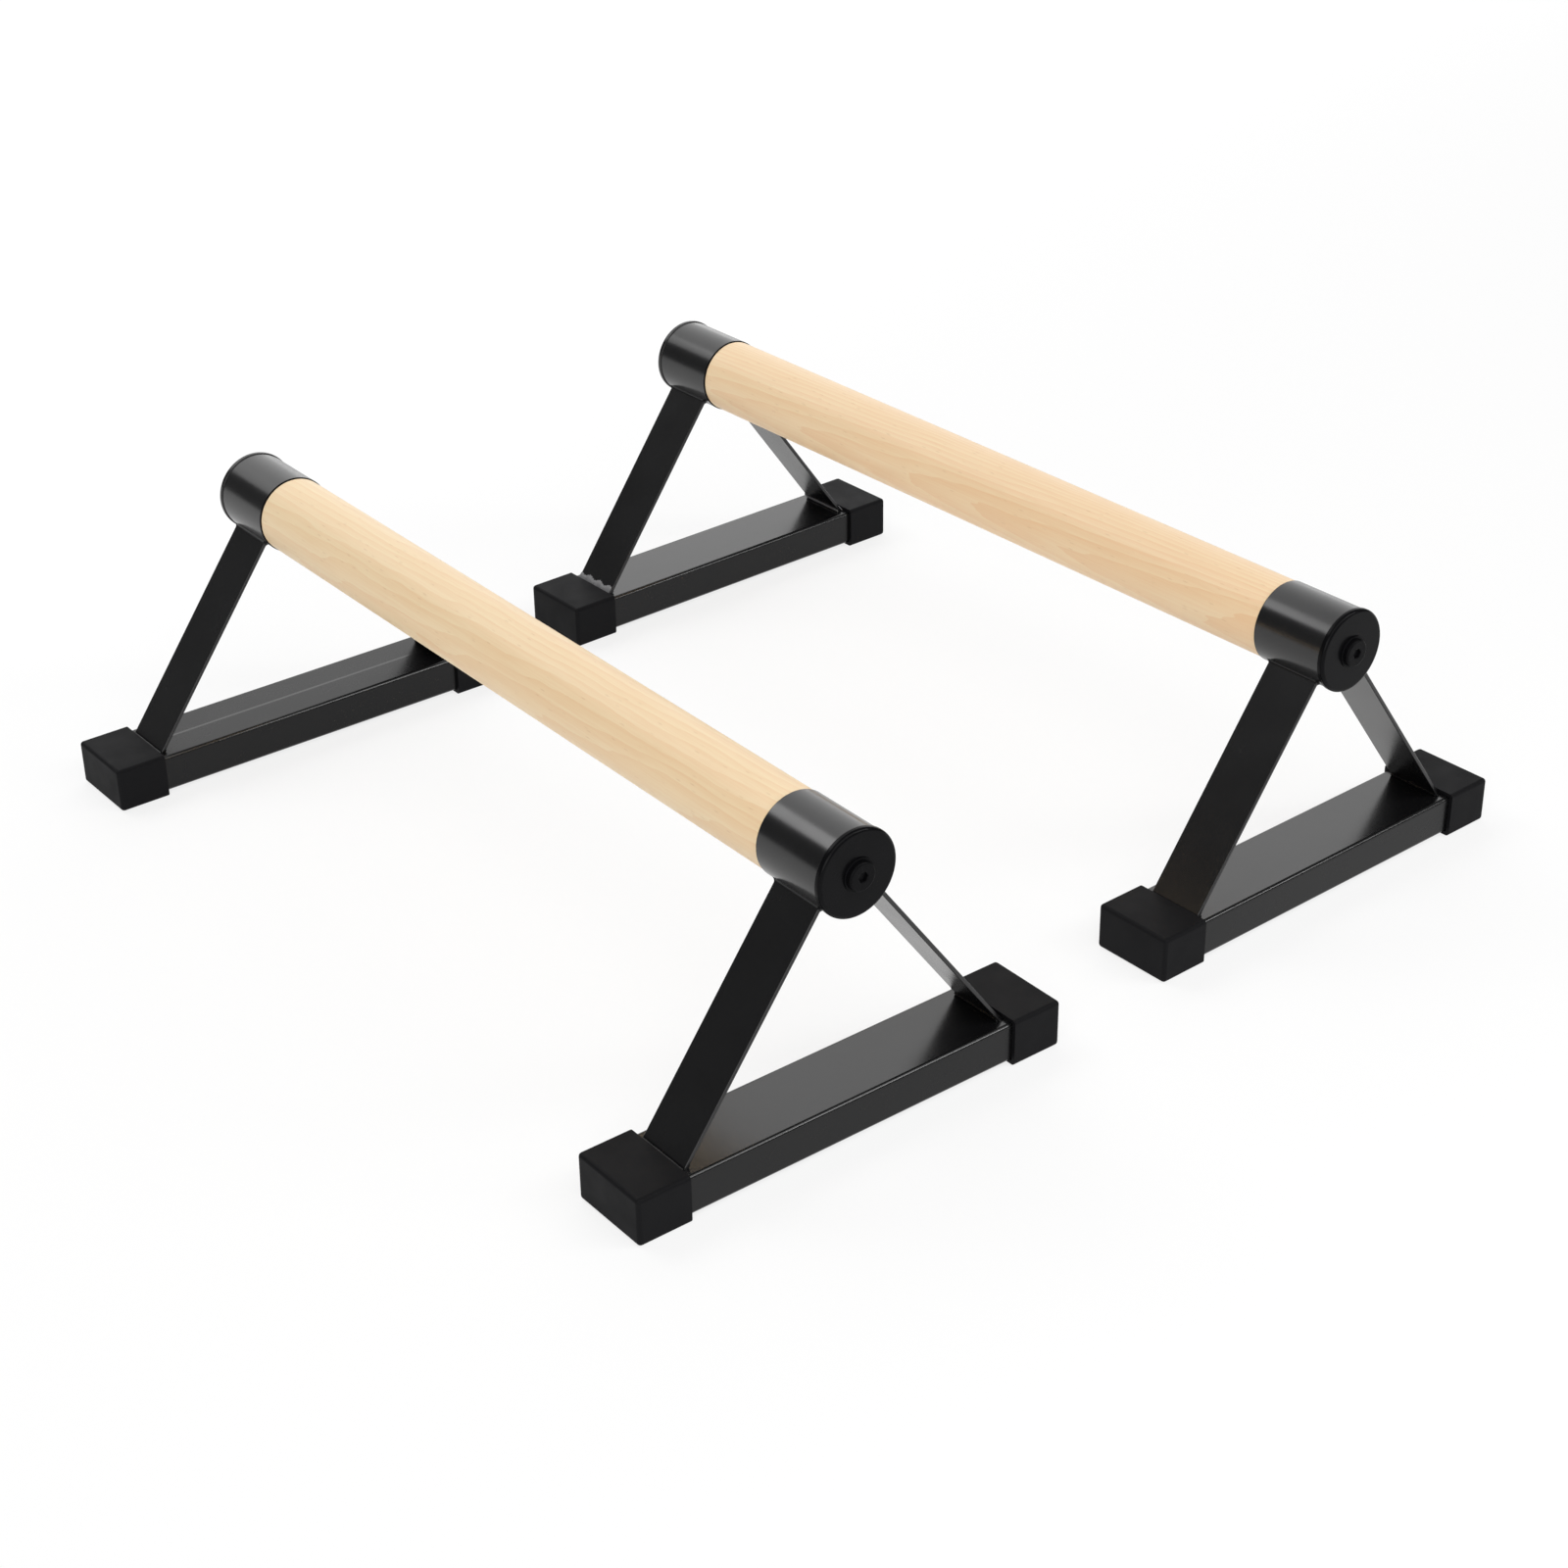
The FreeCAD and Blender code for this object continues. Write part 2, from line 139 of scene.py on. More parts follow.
def add_node(tree: NodeTree, kind: str, inputs: dict[Any, Any] | None = None, **settings: Any) -> Node:
    """Adds a shader node with its settings, values and links.

    Args:
        tree: the node tree that the node joins.
        kind: the node's type, such as TexNoise.
        inputs: a value, or the socket to link from, by the input's name or number.
        settings: the node's own properties.

    Returns:
        The new node.
    """
    node = tree.nodes.new(f"ShaderNode{kind}")
    for name, setting in settings.items():
        setattr(node, name, setting)
    for name, given in (inputs or {}).items():
        if isinstance(given, NodeSocket):
            tree.links.new(given, node.inputs[name])
        else:
            node.inputs[name].default_value = given
    return node


def maths(tree: NodeTree, operation: str, *values: Any) -> NodeSocket:
    """Adds a sum.

    Args:
        tree: the node tree that it joins.
        operation: what it works out, such as MULTIPLY.
        values: its values, or the sockets to link from, in order.

    Returns:
        Its result.
    """
    return add_node(tree, "Math", dict(enumerate(values)), operation=operation).outputs[0]


def remap(tree: NodeTree, value: NodeSocket, source: Span = UNIT, target: Span = UNIT) -> NodeSocket:
    """Turns one range of values into another.

    Args:
        tree: the node tree that it joins.
        value: the value to turn.
        source: the range it comes from.
        target: the range it goes to.

    Returns:
        The value in its new range.
    """
    ends = dict(zip(("From Min", "From Max", "To Min", "To Max"), source + target))
    return add_node(tree, "MapRange", {"Value": value, **ends}).outputs["Result"]


# The mix node keeps its inputs for each kind of value apart, so its colour sockets go by number.
MIX_FACTOR, MIX_FIRST, MIX_SECOND, MIX_RESULT = 0, 6, 7, 2


def blend(tree: NodeTree, share: NodeSocket, first: Any, second: Any) -> NodeSocket:
    """Mixes two colours.

    Args:
        tree: the node tree that the mix joins.
        share: how much of the second colour shows.
        first: the first colour, or the socket to link from.
        second: the second colour.

    Returns:
        The mixed colour.
    """
    inputs = {MIX_FACTOR: share, MIX_FIRST: first, MIX_SECOND: second}
    return add_node(tree, "Mix", inputs, data_type="RGBA").outputs[MIX_RESULT]


def new_material(name: str) -> tuple[Material, NodeTree]:
    """Makes a material with an empty node tree.

    Args:
        name: the real material's name.

    Returns:
        The material and its tree.
    """
    material = bpy.data.materials.new(name)
    material.use_nodes = True
    material.node_tree.nodes.clear()
    return material, material.node_tree


def close_material(tree: NodeTree, surface: dict[str, Any]) -> None:
    """Ends a material's tree with its shader and output.

    Args:
        tree: the material's tree.
        surface: the shader's values and links by input name.
    """
    shader = add_node(tree, "BsdfPrincipled", surface)
    add_node(tree, "OutputMaterial", {"Surface": shader.outputs["BSDF"]})


# Finishes


# The wave texture repeats after this length at a scale of one.
WAVE_PERIOD = FULL_TURN / 20


@dataclass(frozen=True)
class Board:
    """The wood that one bar was cut from: how its rings lie and are spaced, and its two shades."""

    ring_turn: float
    ring_tilt: float
    pale: str
    deep: str
    ring_spacing: float = 2.6 * MM
    along_ring: float = 8.0


# The right bar's board is a little redder, and its rings lie another way.
BOARD_OF = {
    Side.LEFT: Board(math.radians(64), math.radians(2.4), "#F3DEB8", "#EBC99E", 4.4 * MM, 5.0),
    Side.RIGHT: Board(math.radians(84), math.radians(2.1), "#F4DDB7", "#ECC69B"),
}


@dataclass(frozen=True)
class LacqueredBeech:
    """Steamed beech, turned and lacquered: pale and even, with faint rings, fine fibres and ray flecks.

    Widths are across the grain, and the values named along are how many times longer the marks are along it.
    """

    name: str
    middle: Vector
    yaw: float
    board: Board
    fleck: str = "#C99C70"
    ring_wander: float = 15 * MM
    ring_distortion: float = 7.0
    ring_detail: float = 3.0
    ring_share: float = 0.34
    fibre_width: float = 0.9 * MM
    fibre_detail: float = 3.0
    fibre_share: float = 0.5
    along_fibre: float = 45.0
    patch_width: float = 34 * MM
    patch_detail: float = 2.0
    patch_share: float = 0.5
    along_patch: float = 5.0
    fleck_width: float = 1.5 * MM
    fleck_edge: Span = (0.24, 0.06)
    fleck_share: float = 0.36
    fleck_rarity: float = 0.62
    along_fleck: float = 6.5
    shade_range: Span = (0.3, 0.95)
    roughness: Span = (0.4, 0.56)
    grain_strength: float = 0.35
    grain_depth: float = 0.03 * MM
    specular: float = 0.34
    coat: float = 0.1
    coat_roughness: float = 0.3

    def build(self) -> Material:
        """Makes the material, with its pattern laid along the bar.

        Returns:
            The material.
        """
        material, tree = new_material(self.name)
        place = add_node(tree, "TexCoord")
        turn = Matrix.Rotation(-self.yaw, 3, "Z")
        along = add_node(tree, "Mapping", {
            "Vector": place.outputs["Object"],
            "Location": -(turn @ self.middle),
            "Rotation": (0.0, 0.0, -self.yaw),
        }).outputs["Vector"]
        rings = self._rings(tree, along)
        fibres = self._noise(tree, along, self.fibre_width, self.along_fibre, self.fibre_detail)
        patches = self._noise(tree, along, self.patch_width, self.along_patch, self.patch_detail)
        flecks = self._flecks(tree, along)
        shade = maths(tree, "MULTIPLY", rings, self.ring_share)
        shade = maths(tree, "MULTIPLY_ADD", fibres, self.fibre_share, shade)
        shade = maths(tree, "MULTIPLY_ADD", patches, self.patch_share, shade)
        shade = remap(tree, shade, self.shade_range)
        wood = blend(tree, shade, linear(self.board.pale), linear(self.board.deep))
        flecked = blend(tree, flecks, wood, linear(self.fleck))
        sheen = remap(tree, fibres, target=self.roughness)
        relief = add_node(tree, "Bump", {
            "Strength": self.grain_strength, "Distance": self.grain_depth, "Height": fibres,
        })
        close_material(tree, {
            "Base Color": flecked,
            "Roughness": sheen,
            "Normal": relief.outputs["Normal"],
            "Specular IOR Level": self.specular,
            "Coat Weight": self.coat,
            "Coat Roughness": self.coat_roughness,
        })
        return material

    def _noise(self, tree: NodeTree, along: NodeSocket, width: float, stretch: float,
               detail: float) -> NodeSocket:
        """Adds noise that is drawn out along the grain.

        Args:
            tree: the material's tree.
            along: the place along the bar.
            width: how wide its features are across the grain.
            stretch: how many times longer they are along it.
            detail: the noise's octaves.

        Returns:
            The noise's value.
        """
        drawn = add_node(tree, "Mapping", {"Vector": along, "Scale": (1 / stretch, 1.0, 1.0)})
        noise = add_node(tree, "TexNoise", {
            "Vector": drawn.outputs["Vector"], "Scale": 1 / width, "Detail": detail,
        })
        return noise.outputs["Fac"]

    def _rings(self, tree: NodeTree, along: NodeSocket) -> NodeSocket:
        """Adds the growth rings, cut at a low angle, which draws flames where they lie flat.

        Args:
            tree: the material's tree.
            along: the place along the bar.

        Returns:
            The rings' value.
        """
        board = self.board
        turn = (board.ring_turn, board.ring_tilt, 0.0)
        laid = add_node(tree, "Mapping", {"Vector": along, "Rotation": turn})
        drawn = add_node(tree, "Mapping", {
            "Vector": laid.outputs["Vector"], "Scale": (1 / board.along_ring, 1.0, 1.0),
        })
        scale = WAVE_PERIOD / board.ring_spacing
        wave = add_node(tree, "TexWave", {
            "Vector": drawn.outputs["Vector"],
            "Scale": scale,
            "Distortion": self.ring_distortion,
            "Detail": self.ring_detail,
            "Detail Scale": 1 / (self.ring_wander * scale),
        }, wave_type="BANDS", bands_direction="Z", wave_profile="SAW")
        return wave.outputs["Fac"]

    def _flecks(self, tree: NodeTree, along: NodeSocket) -> NodeSocket:
        """Adds beech's short brown ray flecks, in about a third of the cells of a stretched pattern.

        Args:
            tree: the material's tree.
            along: the place along the bar.

        Returns:
            How much of the fleck's colour shows.
        """
        drawn = add_node(tree, "Mapping", {"Vector": along, "Scale": (1 / self.along_fleck, 1.0, 1.0)})
        place = drawn.outputs["Vector"]
        cells = add_node(tree, "TexVoronoi", {"Vector": place, "Scale": 1 / self.fleck_width})
        core = remap(tree, cells.outputs["Distance"], self.fleck_edge, (0.0, self.fleck_share))
        chosen = add_node(tree, "SeparateColor", {"Color": cells.outputs["Color"]})
        some = maths(tree, "GREATER_THAN", chosen.outputs["Red"], self.fleck_rarity)
        return maths(tree, "MULTIPLY", core, some)


@dataclass(frozen=True)
class MottledFinish:
    """A surface of two close shades in soft patches, each with its own roughness, over a fine relief."""

    name: str
    shades: tuple[str, str]
    roughness: Span
    patch_width: float
    relief_width: float
    relief_depth: float
    specular: float = 0.5
    ior: float = 1.5
    metallic: float = 0.0
    patch_detail: float = 4.0
    patch_range: Span = (0.3, 0.7)
    relief_detail: float = 2.0

    def build(self) -> Material:
        """Makes the material.

        Returns:
            The material.
        """
        material, tree = new_material(self.name)
        place = add_node(tree, "TexCoord").outputs["Object"]
        sizes = (self.patch_width, self.patch_detail), (self.relief_width, self.relief_detail)
        patches, grit = (
            add_node(tree, "TexNoise", {"Vector": place, "Scale": 1 / width, "Detail": detail}).outputs["Fac"]
            for width, detail in sizes)
        colour = blend(tree, patches, *map(linear, self.shades))
        gloss = remap(tree, patches, self.patch_range, self.roughness)
        relief = add_node(tree, "Bump", {"Distance": self.relief_depth, "Height": grit})
        close_material(tree, {
            "Base Color": colour,
            "Roughness": gloss,
            "Normal": relief.outputs["Normal"],
            "Metallic": self.metallic,
            "IOR": self.ior,
            "Specular IOR Level": self.specular,
        })
        return material


class Skin(Enum):
    """The finishes that the bars share, with their patches' width, and their relief's width and depth."""

    # Gloss powder coat on sleeves and rounded corners: deep black, clear reflections, faintly rippled.
    GLOSS_COAT = MottledFinish(
        "gloss_powder_coat", ("#0C0C0D", "#111112"), (0.2, 0.24), 22 * MM, 1.6 * MM, 0.002 * MM, ior=1.55)
    # The same coat on flat steel, where it lies thinner and duller over the mill surface.
    SATIN_COAT = MottledFinish(
        "satin_powder_coat", ("#0A0A0B", "#101011"), (0.25, 0.3), 26 * MM, 1.6 * MM, 0.0015 * MM,
        specular=0.25)
    # The same coat on the cold-rolled strip of the legs, whose smoother steel gives it a little more shine.
    STRIP_COAT = MottledFinish(
        "strip_powder_coat", ("#0A0A0B", "#101011"), (0.24, 0.28), 30 * MM, 1.6 * MM, 0.0012 * MM,
        specular=0.48)
    # A coarse weld bead, painted light grey in patches: painted highlight that stands in for the bright
    # glints on its ripples.
    WELD_SKIN = MottledFinish(
        "thinly_coated_weld", ("#5A5A5C", "#7A7A7C"), (0.35, 0.5), 3 * MM, 0.7 * MM, 0.02 * MM, specular=0.4)
    # Moulded rubber: matt black with a fine sparked grain, drawn a little coarser than life so that it shows.
    RUBBER = MottledFinish(
        "moulded_rubber", ("#0D0D0F", "#131315"), (0.55, 0.66), 14 * MM, 0.5 * MM, 0.01 * MM, specular=0.1)
    # Moulded polyethylene: satin black, smooth, with faint sink marks.
    PLASTIC = MottledFinish(
        "moulded_polyethylene", ("#09090A", "#0D0D0F"), (0.2, 0.26), 12 * MM, 0.8 * MM, 0.0015 * MM,
        specular=0.07)
    # Polished polyethylene on the rims of the rear plugs, which mirror the room as the sleeves do.
    POLISHED_PLASTIC = MottledFinish(
        "polished_polyethylene", ("#0C0C0D", "#111112"), (0.2, 0.24), 22 * MM, 1.6 * MM, 0.002 * MM)
    # The sawn inner ends of the sleeves, in a darker and duller coat: painted shade for the shadow in the
    # joint with the wood, so that each reads as a dark line.
    SAWN_EDGE = MottledFinish(
        "powder_coat_on_sawn_edge", ("#070708", "#0B0B0C"), (0.5, 0.6), 9 * MM, 0.6 * MM, 0.004 * MM,
        specular=0.04)
    # Black oxide on steel: a dull near-black skin of fine crystals, which glints only along rounded edges.
    BLACK_OXIDE = MottledFinish(
        "black_oxide_steel", ("#0A0A0B", "#0E0E10"), (0.34, 0.42), 5 * MM, 0.3 * MM, 0.001 * MM,
        specular=0.05)
    # Turned brass, hidden in the end grain: yellow metal with fine tool marks.
    BRASS = MottledFinish(
        "turned_brass", ("#B08D4A", "#C9A65E"), (0.25, 0.36), 4 * MM, 0.4 * MM, 0.004 * MM, metallic=1.0)


# Shapes


@dataclass(frozen=True)
class Corner:
    """A corner of an outline that is turned about the X axis."""

    along: float
    radius: float
    rounding: float = 0.0


def turned(outline: Sequence[Corner], segments: int, arc_steps: int) -> BMesh:
    """Turns a closed outline about the X axis.

    Args:
        outline: its corners in order, each with the radius that rounds it.
        segments: the steps of the full turn.
        arc_steps: the steps of each rounded corner.

    Returns:
        The closed shape.
    """
    shape = bmesh.new()
    points = [shape.verts.new((corner.along, 0.0, corner.radius)) for corner in outline]
    for point, after in zip(points, points[1:] + points[:1]):
        if point.co.z > 0 or after.co.z > 0:
            shape.edges.new((point, after))
    for corner, point in zip(outline, points):
        if corner.rounding:
            round_off(shape, [point], corner.rounding, arc_steps)
    bmesh.ops.spin(shape, geom=shape.verts[:] + shape.edges[:], axis=X_AXIS, angle=FULL_TURN, steps=segments,
                   use_merge=True)
    return closed(shape)


def closed(shape: BMesh) -> BMesh:
    """Merges doubled points and turns every face outwards.

    Args:
        shape: the shape to mend.

    Returns:
        The same shape.
    """
    bmesh.ops.remove_doubles(shape, verts=shape.verts[:], dist=SAME_POINT)
    bmesh.ops.recalc_face_normals(shape, faces=shape.faces[:])
    return shape


def add_face(shape: BMesh, corners: Sequence[Vector]) -> BMFace:
    """Adds a flat face.

    Args:
        shape: the shape that it joins.
        corners: its corners in order.

    Returns:
        The face.
    """
    return shape.faces.new([shape.verts.new(corner) for corner in corners])


def push_out(shape: BMesh, faces: Sequence[BMFace], way: Vector) -> list[BMFace]:
    """Extrudes faces along a way.

    Args:
        shape: the shape they belong to.
        faces: the faces to extrude.
        way: the direction and distance.

    Returns:
        The moved faces.
    """
    rim = list(dict.fromkeys(edge for face in faces for edge in face.edges))
    made = bmesh.ops.extrude_face_region(shape, geom=[*faces, *rim])["geom"]
    bmesh.ops.translate(shape, vec=way, verts=[item for item in made if isinstance(item, BMVert)])
    return [item for item in made if isinstance(item, BMFace)]


def round_off(shape: BMesh, items: Sequence[BMVert | BMEdge], radius: float, steps: int) -> None:
    """Rounds edges, or the corners of an outline.

    Args:
        shape: the shape they belong to.
        items: the edges, or the corners' points.
        radius: the radius of the rounding.
        steps: the steps of the rounding.
    """
    on_edges = isinstance(items[0], BMEdge)
    bmesh.ops.bevel(shape, geom=list(items), offset=radius, segments=steps, profile=0.5, material=-1,
                    affect="EDGES" if on_edges else "VERTICES", clamp_overlap=on_edges)


def curve(start: Vector, pull: Vector, end: Vector) -> list[Vector]:
    """Draws a curve between two points.

    Args:
        start: its first point.
        pull: the point that it leans towards.
        end: its last point.

    Returns:
        Its points.
    """
    shares = [step / WELD_STEPS for step in range(WELD_STEPS + 1)]
    return [start.lerp(pull, share).lerp(pull.lerp(end, share), share) for share in shares]


def stand_for(node: str, shape: BMesh, place: Matrix, *materials: Material) -> None:
    """Makes a shape into the piece that stands for a CAD node and rides on that node's body.

    Args:
        node: the CAD node's name.
        shape: the shape, about its own origin.
        place: where that origin is in the part.
        materials: the shape's finish, or its finishes in the order of its faces' numbers.
    """
    shape.transform(place)
    mesh = bpy.data.meshes.new(f"{node}_mesh")
    shape.to_mesh(mesh)
    shape.free()
    mesh.shade_smooth()
    mesh.set_sharp_from_angle(angle=SHARP_EDGE)
    for material in materials:
        mesh.materials.append(material)
    piece = bpy.data.objects.new(f"{node}_finished", mesh)
    bpy.context.scene.collection.objects.link(piece)
    flat_shading = piece.modifiers.new("flat_shading", "WEIGHTED_NORMAL")
    flat_shading.keep_sharp = True
    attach(piece, frame["nodes"][node]["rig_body"])
    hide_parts(node)
    log.info("%s: %d faces", piece.name, len(mesh.polygons))


# Pieces of an end frame


@dataclass(frozen=True)
class BaseTube:
    """The rectangular steel tube that lies across under one end of a bar."""

    width: float = 40 * MM
    height: float = 20 * MM
    wall: float = 1.5 * MM
    corner: float = 2 * MM
    length: float = 232 * MM
    lift: float = 2 * MM
    seam_width: float = 1.6 * MM
    seam_height: float = 0.1 * MM
    corner_slants: Span = (0.2, 0.98)

    @property
    def top(self) -> float:
        """The height of the tube's upper face."""
        return self.lift + self.height

    def build(self, seam: SeamFace) -> BMesh:
        """Models the tube: a rounded outline with its wall and the flat bead of its seam, drawn out along Y.

        Args:
            seam: the face that the seam is on.

        Returns:
            The shape, with its rounded corners and its seam in a second finish.
        """
        half = self.width / 2
        low, high = self.lift, self.top
        start = -self.length / 2
        corners = ((-half, low), (half, low), (half, high), (-half, high))
        shape = bmesh.new()
        add_face(shape, [Vector((x, start, z)) for x, z in corners])
        self._raise_seam(shape, seam)
        outer = [vert for vert in shape.verts if abs(abs(vert.co.x) - half) < SAME_POINT]
        round_off(shape, outer, self.corner, steps=6)
        hollow = shape.faces[:]
        bmesh.ops.inset_region(shape, faces=hollow, thickness=self.wall, use_even_offset=True,
                               use_boundary=True)
        bmesh.ops.delete(shape, geom=hollow, context="FACES_ONLY")
        push_out(shape, shape.faces[:], Y_AXIS * self.length)
        closed(shape).normal_update()
        flattest, steepest = self.corner_slants
        for face in shape.faces:
            on_corner = flattest < abs(face.normal.x) < steepest
            on_seam = abs(face.calc_center_median().x) < self.seam_width / 2
            face.material_index = int(on_corner or on_seam)
        return shape

    def _raise_seam(self, shape: BMesh, seam: SeamFace) -> None:
        """Adds the seam's three points to the tube's outline.

        Args:
            shape: the outline's face.
            seam: the face that the seam is on.
        """
        level = self.top if seam is SeamFace.TOP else self.lift
        edge = next(edge for edge in shape.edges
                    if all(abs(vert.co.z - level) < SAME_POINT for vert in edge.verts))
        made = bmesh.ops.subdivide_edges(shape, edges=[edge], cuts=3)["geom_inner"]
        inner = sorted((item for item in made if isinstance(item, BMVert)), key=lambda vert: vert.co.x)
        for vert, step in zip(inner, (-1, 0, 1)):
            vert.co.x = step * self.seam_width / 2
        inner[1].co.z += seam.value * self.seam_height


@dataclass(frozen=True)
class FootCap:
    """A rubber cap pushed over the end of a base tube, which stands on the floor."""

    tube: BaseTube = BaseTube()
    wall: float = 2 * MM
    length: float = 27.5 * MM
    corner: float = 2 * MM
    clearance: float = 0.1 * MM
    lip_round: float = 0.3 * MM
    lip_angle: float = math.radians(60)

    @property
    def end(self) -> float:
        """How far the closed end is from the middle of the tube."""
        return self.tube.length / 2 + self.wall

    def build(self) -> BMesh:
        """Models the cap: a block with rounded edges, hollowed from its mouth.

        Returns:
            The shape.
        """
        width = self.tube.width + 2 * (self.clearance + self.wall)
        height = self.tube.height + self.clearance + 2 * self.wall
        shape = bmesh.new()
        bmesh.ops.create_cube(shape, size=1.0)
        bmesh.ops.scale(shape, vec=(width, self.length, height), verts=shape.verts[:])
        bmesh.ops.translate(shape, vec=(0, self.end - self.length / 2, height / 2), verts=shape.verts[:])
        mouth = self.end - self.length
        outer = [edge for edge in shape.edges if any(vert.co.y > mouth + SAME_POINT for vert in edge.verts)]
        round_off(shape, outer, self.corner, steps=6)
        opening = [face for face in shape.faces if face.calc_center_median().y < mouth + SAME_POINT]
        bmesh.ops.inset_region(shape, faces=opening, thickness=self.wall, use_even_offset=True,
                               use_boundary=True)
        push_out(shape, opening, Y_AXIS * (self.length - self.wall))
        lip = [edge for edge in shape.edges if edge.calc_face_angle(0) > self.lip_angle
               and all(abs(vert.co.y - mouth) < SAME_POINT for vert in edge.verts)]
        round_off(shape, lip, self.lip_round, steps=2)
        return closed(shape)


@dataclass(frozen=True)
class Sleeve:
    """The short round steel tube that holds the end of a grip bar."""

    axis_height: float = 136.5 * MM
    diameter: float = 41 * MM
    wall: float = 1.5 * MM
    length: float = 40 * MM
    edge_round: float = 0.4 * MM
    plug_flange: float = 3.5 * MM

    @property
    def inner_end(self) -> float:
        """The place of the end that the bar goes into."""
        return -(self.length + self.plug_flange) / 2

    @property
    def outer_end(self) -> float:
        """The place of the end that the plug closes."""
        return self.inner_end + self.length

    @property
    def radius(self) -> float:
        """The outer radius."""
        return self.diameter / 2

    @property
    def bore(self) -> float:
        """The radius of the bore."""
        return self.radius - self.wall

    def build(self) -> BMesh:
        """Models the sleeve.

        Returns:
            The shape, with its sawn inner end in a second finish, which paints the shade of its joint with
            the wood.
        """
        shape = turned([
            Corner(self.inner_end, self.bore),
            Corner(self.outer_end, self.bore),
            Corner(self.outer_end, self.radius),
            Corner(self.inner_end, self.radius, self.edge_round),
        ], TUBE_STEPS, arc_steps=4)
        for face in shape.faces:
            face.material_index = int(face.calc_center_median().x < self.inner_end + self.edge_round)
        return shape


@dataclass(frozen=True)
class Bead:
    """How a weld was laid: how far it climbs the leg, and how its section swells and shrinks along it."""

    height: float
    ripple: float = 0.0
    lump: float = 0.0
    ripple_length: float = 1.9 * MM
    lump_length: float = 9.3 * MM
    ripple_steps: int = 4

    def swell(self, along: float) -> float:
        """Finds how many times its plain section the bead is.

        Args:
            along: the place along the bead.

        Returns:
            The section's scale there.
        """
        ripple = self.ripple * math.sin(FULL_TURN * along / self.ripple_length)
        return 1 + ripple + self.lump * math.sin(FULL_TURN * along / self.lump_length)


GROUND_BEAD = Bead(height=1.1 * MM)
INNER_BEAD = Bead(height=1.9 * MM, ripple=0.06, lump=0.06)
NEAT_BEAD = Bead(height=0.9 * MM, ripple=0.06, lump=0.06)
HEAVY_BEAD = Bead(height=4.4 * MM, ripple=0.06, lump=0.17)


